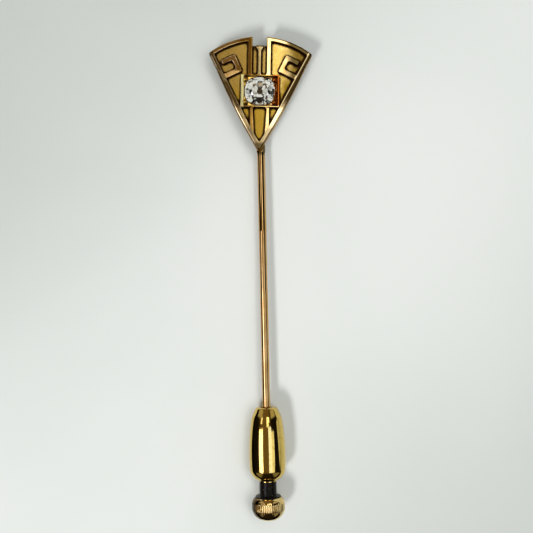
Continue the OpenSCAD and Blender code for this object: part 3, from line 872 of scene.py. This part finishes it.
plate = mirror_gold("mirror_plate", rgb(0.68, 0.49, 0.13), rgb(0.50, 0.32, 0.06), 0.05)
knob_plate = mirror_gold("knob_plate", rgb(0.76, 0.56, 0.23), rgb(0.50, 0.32, 0.06), 0.035,
                         dirt_and_shade_reach=0.12, shade=(0.6, 1.5))
dress(barrel, plate, "clutch_barrel", "barrel_body")
print("barrel is dressed")

# %% [markdown]
# The black neck is a straight tube with a guiding collar inside the barrel and a thin flange
# that closes the front of the knob. Its blackened skin is worn through in patches.

# %% The clutch neck
NECK_R, NECK_SHOW, COLLAR_R, COLLAR_Z, COLLAR_L = 1.14, 2, 1.8, 2.65, 0.7
FLANGE_R, FLANGE_T, BORE_R, FILLET = 1.7, 0.4, 0.58, 0.12
KNOB_Z = BARREL_L + NECK_SHOW
neck_outline = (
    [(BORE_R, COLLAR_Z), (COLLAR_R, COLLAR_Z), (COLLAR_R, COLLAR_Z + COLLAR_L),
     (NECK_R, COLLAR_Z + COLLAR_L)]
    + arc((NECK_R + FILLET, KNOB_Z - FILLET), FILLET, 180, 90, 4)
    + arc((FLANGE_R - EDGE, KNOB_Z + EDGE), EDGE, -90, 0, 4)
    + [(FLANGE_R, KNOB_Z + FLANGE_T), (BORE_R, KNOB_Z + FLANGE_T)])
neck = turned("neck", neck_outline, 96)
smooth(neck, 30)
lay(neck, clutch_at)

black, tree = new_material("blackened_metal")
place = millimetres(tree)
worn = noise(place, 3.0, detail=4, distortion=0.3).between(0.62, 0.8)
streaks = noise(millimetres(tree, stretch=(6, 0.5, 6)), 1.0, detail=2)
colour = mix(worn, rgb(0.006, 0.005, 0.004), rgb(0.40, 0.24, 0.12))
finish_with(tree, {"Base Color": colour, "Metallic": worn, "Roughness": 0.16 + 0.2 * streaks,
                   "IOR": 1.2, "Normal": bump(streaks, 0.004)})
dress(neck, black, "clutch_neck", "plunger_body")

# %% [markdown]
# The knob is turned too, and then knurled: forty-four flutes are cut round its belly. Each
# flute is one line of corners pushed towards the axis, so the lathe gives it four sides to a
# flute, and the push fades out at both ends of the band.

# %% The clutch knob
KNOB_R, KNOB_L, SHOULDER_R, DOME_R = 2.2, 3.2, 1, 1.65
RECESS_R, RECESS_L, KNOB_BORE, BELLY_RINGS = 1.72, 0.42, 2.5, 6
FLUTES, FLUTE_DEPTH, FLUTE_STEPS, ON_FLUTE = 44, 0.1, 9, 0.45
belly_l = KNOB_L - DOME_R - SHOULDER_R
rim_turn = -degrees(acos((RECESS_R - (KNOB_R - SHOULDER_R)) / SHOULDER_R))
knob_outline = (
    arc((KNOB_R - SHOULDER_R, SHOULDER_R), SHOULDER_R, rim_turn, 0, 14)
    + [(KNOB_R, SHOULDER_R + belly_l * step / BELLY_RINGS) for step in range(1, BELLY_RINGS)]
    + arc((KNOB_R - DOME_R, KNOB_L - DOME_R), DOME_R, 0, 90, 24)
    + [(0, KNOB_L), (0, KNOB_BORE), (BORE_R, KNOB_BORE), (BORE_R, RECESS_L),
       (RECESS_R, RECESS_L)])
knob = turned("knob", knob_outline, FLUTES * 4)


def on_flute(corner):
    return abs(atan2(corner.co.y, corner.co.x) * FLUTES / (2 * pi) % 1 - 0.5) > ON_FLUTE


edit(knob, "VERT")
shrink = 1 - FLUTE_DEPTH / FLUTE_STEPS / KNOB_R
for step in range(1, FLUTE_STEPS):
    reach = KNOB_R - FLUTE_DEPTH * (FLUTE_STEPS - step) / FLUTE_STEPS
    picked = choose(knob, "verts", lambda corner: (
        on_flute(corner) and corner.co.xy.length > reach * MM))
    bpy.ops.transform.resize(value=(shrink, shrink, 1), center_override=(0, 0, 0))
object_mode()
print(picked, "corners pushed in at the deepest")
smooth(knob, 50)
lay(knob, clutch_at @ Matrix.Translation((0, 0, KNOB_Z * MM)))
dress(knob, knob_plate, "clutch_knob", "plunger_body")

# %% [markdown]
# The jaws hardly show, but they are seen when the clutch is off, so they get a copy of the
# measured node with its sharp edges taken down.

# %% The jaws
JAW_ROUND = 0.02 * MM
jaws = copy_of("clutch_jaws", "jaws")
apply_modifier(jaws, "BEVEL", limit_method="ANGLE", angle_limit=radians(50), width=JAW_ROUND,
               segments=2)
smooth(jaws, 30)
dull, tree = new_material("turned_brass")
place = millimetres(tree)
rings = noise(millimetres(tree, stretch=(0.3, 20, 0.3)), 1.0, detail=2)
tarnish = noise(place, 1.5, detail=3).between(0.4, 0.65)
finish_with(tree, {"Base Color": mix(tarnish, rgb(0.60, 0.40, 0.16), rgb(0.22, 0.12, 0.05)),
                   "Metallic": 1.0, "Roughness": 0.3 + 0.2 * tarnish, "Normal": bump(rings, 0.004)})
dress(jaws, dull, "clutch_jaws", "jaws_body")
print("jaws have", len(jaws.data.polygons), "faces")

# %% [markdown]
# The stem is a drawn wire whose end is drawn down to a point. It starts as a flat disc, which
# is extruded from station to station and scaled to the radius that the wire has there. Its
# upper end stays hidden in the solder under the fan.

# %% The stem
STEM_GRIP, POINT_L, POINT_R, BLUNT_R, TAPER_LEAD = 10 * MM, 2.2 * MM, 0.42 * MM, 0.06 * MM, 0.3 * MM
STEM_SIDES, IN_SOLDER = 48, 3 * MM
TWIST_FROM, TWIST_TO, TWIST_LEAD = 10.6 * MM, 18.8 * MM, 1.15 * MM
stem_end = stem_show + STEM_GRIP
stations = [(-IN_SOLDER, stem_r), (TWIST_FROM, stem_r), (TWIST_TO, stem_r),
            (stem_show - TAPER_LEAD, stem_r), (stem_end - POINT_L, POINT_R),
            (stem_end - POINT_L / 3, POINT_R / 3 + BLUNT_R / 2), (stem_end, BLUNT_R)]
stem = new_piece("stem", bpy.ops.mesh.primitive_circle_add, vertices=STEM_SIDES, radius=stem_r,
                 fill_type="NGON")
lay(stem, Matrix.Translation((0, 0, -IN_SOLDER)))
edit(stem)
for (low, old_r), (high, new_r) in zip(stations, stations[1:]):
    bpy.ops.mesh.extrude_region_move(TRANSFORM_OT_translate={"value": (0, 0, high - low)})
    bpy.ops.transform.resize(value=(new_r / old_r,) * 3, center_override=(0, 0, high))
bpy.ops.mesh.select_all(action="SELECT")
bpy.ops.mesh.normals_make_consistent(inside=False)
object_mode()
print("plain stem has", len(stem.data.polygons), "faces")

# %% [markdown]
# Partway down, the maker twisted a shallow grip into the wire, which keeps the pin from
# creeping out of the cloth. The wire is cut into short rings there, and four straight flutes
# are pressed in, in steps that narrow towards the middle of each flute and fade out at the
# grip's ends. The Simple Deform modifier then twists that stretch alone, and is applied.

# %% The twisted grip
PRESS, PRESS_STEPS, FADE_STEP, GRIP_FLUTES = 0.035 * MM, 5, 0.12 * MM, 4
GRIP_RINGS, RING_CUTS = 99, 2


def runs_along_grip(edge):
    low, high = sorted(corner.co.z for corner in edge.verts)
    return low > TWIST_FROM - CLOSE and high < TWIST_TO + CLOSE and high - low > CLOSE


def from_flute(corner):
    """The angle from a corner of the wire to the middle of its nearest flute."""
    half_turn = pi / GRIP_FLUTES
    return abs((atan2(corner.co.y, corner.co.x) + half_turn) % (2 * half_turn) - half_turn)


edit(stem, "EDGE")
for cuts in (GRIP_RINGS, RING_CUTS):
    choose(stem, "edges", runs_along_grip)
    bpy.ops.mesh.subdivide(number_cuts=cuts)
shrink = 1 - PRESS / PRESS_STEPS / stem_r
for step in range(1, PRESS_STEPS + 1):
    fade = step * FADE_STEP
    half_width = pi / GRIP_FLUTES * (1 - (step - 0.5) / PRESS_STEPS)
    choose(stem, "verts", lambda corner: (
        TWIST_FROM + fade < corner.co.z < TWIST_TO - fade and from_flute(corner) < half_width))
    bpy.ops.transform.resize(value=(shrink, shrink, 1), center_override=(0, 0, 0))
object_mode()
length = stem_end + IN_SOLDER
apply_modifier(stem, "SIMPLE_DEFORM", deform_method="TWIST", deform_axis="Z",
               angle=2 * pi * (TWIST_TO - TWIST_FROM) / TWIST_LEAD,
               limits=((TWIST_FROM + IN_SOLDER) / length, (TWIST_TO + IN_SOLDER) / length))
smooth(stem, 40)
lay(stem, DOWN_STEM)
dress(stem, polished_gold, "pin", "pin_body")
print("stem has", len(stem.data.polygons), "faces")

# %% [markdown]
# The stone keeps its measured facets, for no rounding may soften them. A merged copy with
# flat shading keeps each facet crisp, and glass that bends light as strongly as a diamond
# gives the bright and dark facets by itself. Old stones end in a small flat facet at the very
# bottom, the culet, where the shade behind the stone shows as a dark spot. That spot is
# painted onto the culet facet as painted shade.

# %% The stone
DIAMOND_BEND = 2.42
clear, tree = new_material("clear_stone")
cloud = noise(millimetres(tree), 1.2, detail=2).between(0.3, 0.7)
finish_with(tree, {"Base Color": mix(cloud, rgb(1, 1, 1), rgb(0.95, 0.97, 1.0)),
                   "Roughness": 0.0, "IOR": DIAMOND_BEND, "Transmission Weight": 1.0})
stone = copy_of("stone", "cut_stone")
only(stone)
bpy.ops.object.shade_flat()
dress(stone, clear, "stone", "pin_body")
culet_shade, tree = new_material("culet_grime")
specks = noise(millimetres(tree), 6, detail=2)
finish_with(tree, {"Base Color": mix(specks, rgb(0.02, 0.008, 0.003), rgb(0.06, 0.03, 0.012)),
                   "Roughness": 0.6})
stone.data.materials.append(culet_shade)
# Painted shade: the lowest facet, the culet, is painted a speckled dark brown.
lowest = min(stone.data.polygons, key=lambda face: face.center.z)
lowest.material_index = 1
print("stone facets:", len(stone.data.polygons))

# %% [markdown]
# Two of the lamps that the gold needs would glare on the stone's flat top, where the
# photograph has no glare. Light linking takes a lamp's light from single pieces or gives it
# to them alone, so the stone is left out of both. On the clutch's barrel one of the two would
# draw the right stripe too far left, so the barrel is left out of it and has a lamp to itself.

# %% Which lamp lights what
def link_lamp(name, state, *pieces):
    """Lets a lamp light only some pieces, or all but some."""
    linked = bpy.data.collections.new("linked_to_" + name)
    for piece in pieces:
        linked.objects.link(piece)
    for entry in linked.collection_objects:
        entry.light_linking.link_state = state
    bpy.data.objects[name].light_linking.receiver_collection = linked
    print(name, state.lower() + "s", len(pieces), "pieces")


link_lamp("head_lamp", "EXCLUDE", stone)
link_lamp("right_lamp", "EXCLUDE", stone, barrel)
link_lamp("barrel_lamp", "INCLUDE", barrel)
